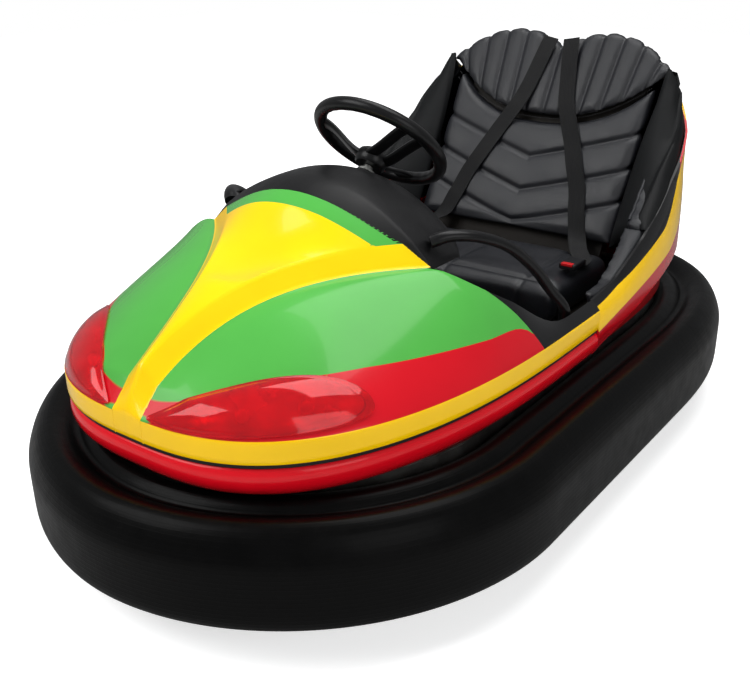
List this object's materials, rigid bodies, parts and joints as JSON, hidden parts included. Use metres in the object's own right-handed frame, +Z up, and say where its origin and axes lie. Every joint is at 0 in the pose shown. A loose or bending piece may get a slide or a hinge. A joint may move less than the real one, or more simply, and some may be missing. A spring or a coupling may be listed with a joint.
{
  "type": "two-seat bumper car",
  "caption": "Fairground bumper car: black rubber ring, gloss green, yellow and red fibreglass body, padded bench seat and a steerable drive wheel under the hood.",
  "frame": {"origin": "on the floor below the middle of the rubber ring", "axes": "+Z up, -Y towards the nose, +X to the driver's left"},
  "size_m": [1.177, 1.95, 0.9018],
  "materials": {
    "painted_shell": "moulded fibreglass shell, gloss gel coat in green, yellow and red",
    "red_moulding": "gloss red moulding",
    "black_rubber": "worn shiny bumper rubber",
    "wheel_rubber": "matt solid rubber",
    "frame_paint": "black frame paint",
    "zinc_steel": "dull zinc plate",
    "motor_grey": "grey motor enamel",
    "black_trim": "moulded black trim",
    "black_leatherette": "vinyl leatherette",
    "seat_board": "dark painted board",
    "red_lens": "clear red lens",
    "lamp_bowl": "bright reflector",
    "belt_webbing": "woven polyester webbing"
  },
  "bodies": {
    "car": {"bumper_tyre": "black_rubber", "bumper_rim": "zinc_steel", "body_mount_plate": "zinc_steel", "chassis_frame": "frame_paint", "floor_pan": "frame_paint", "front_skirt": "red_moulding", "joint_seal": "black_rubber", "rear_skirt": "red_moulding", "front_body": "painted_shell", "rear_body": "painted_shell", "drive_plate": "frame_paint", "rear_bracket_left": "frame_paint", "rear_bracket_right": "frame_paint", "column_tube": "zinc_steel", "column_bellows": "black_rubber", "column_post": "zinc_steel", "dash_cowl": "black_trim", "lamp_lens_left": "red_lens", "lamp_lens_right": "red_lens", "lamp_bowl_left": "lamp_bowl", "lamp_bowl_right": "lamp_bowl", "grab_loop_left": "black_trim", "grab_loop_right": "black_trim", "seat_bolster_left": "black_leatherette", "seat_bolster_right": "black_leatherette", "side_pad_left": "black_leatherette", "side_pad_right": "black_leatherette", "tub_liner_left": "black_trim", "tub_liner_right": "black_trim", "belt_left": "belt_webbing", "belt_right": "belt_webbing", "belt_buckle_left": "zinc_steel", "belt_buckle_right": "zinc_steel", "seat_box": "seat_board", "seat_cushion": "black_leatherette", "seat_back": "black_leatherette", "headrest_pad": "black_leatherette", "seat_board": "seat_board", "pedal_base": "zinc_steel", "pedal": "black_rubber"},
    "drive_swivel": {"drive_fork": "frame_paint", "drive_motor": "motor_grey"},
    "drive_wheel": {"drive_tyre": "wheel_rubber", "drive_hub": "zinc_steel"},
    "steering": {"steering_wheel": "black_trim", "steering_shaft": "zinc_steel"},
    "rear_wheel_left": {"rear_wheel_left_tyre": "wheel_rubber", "rear_wheel_left_hub": "zinc_steel"},
    "rear_wheel_right": {"rear_wheel_right_tyre": "wheel_rubber", "rear_wheel_right_hub": "zinc_steel"}
  },
  "joints": [
    {"name": "drive_swivel", "type": "hinge", "parent": "car", "child": "drive_swivel", "pos_m": [0, -0.49, 0.26], "axis": [0, 0, 1], "continuous": true},
    {"name": "drive_wheel_spin", "type": "hinge", "parent": "drive_swivel", "child": "drive_wheel", "pos_m": [0, -0.49, 0.115], "axis": [1, 0, 0], "continuous": true},
    {"name": "steering_turn", "type": "hinge", "parent": "car", "child": "steering", "pos_m": [0, -0.121, 0.744], "axis": [0, 0.6947, 0.7193], "continuous": true},
    {"name": "rear_wheel_left_spin", "type": "hinge", "parent": "car", "child": "rear_wheel_left", "pos_m": [0.33, 0.52, 0.068], "axis": [1, 0, 0], "continuous": true},
    {"name": "rear_wheel_right_spin", "type": "hinge", "parent": "car", "child": "rear_wheel_right", "pos_m": [-0.33, 0.52, 0.068], "axis": [1, 0, 0], "continuous": true}
  ],
  "couplings": [
    {"joint": "steering_turn", "follows": "drive_swivel", "ratio": 1}
  ]
}
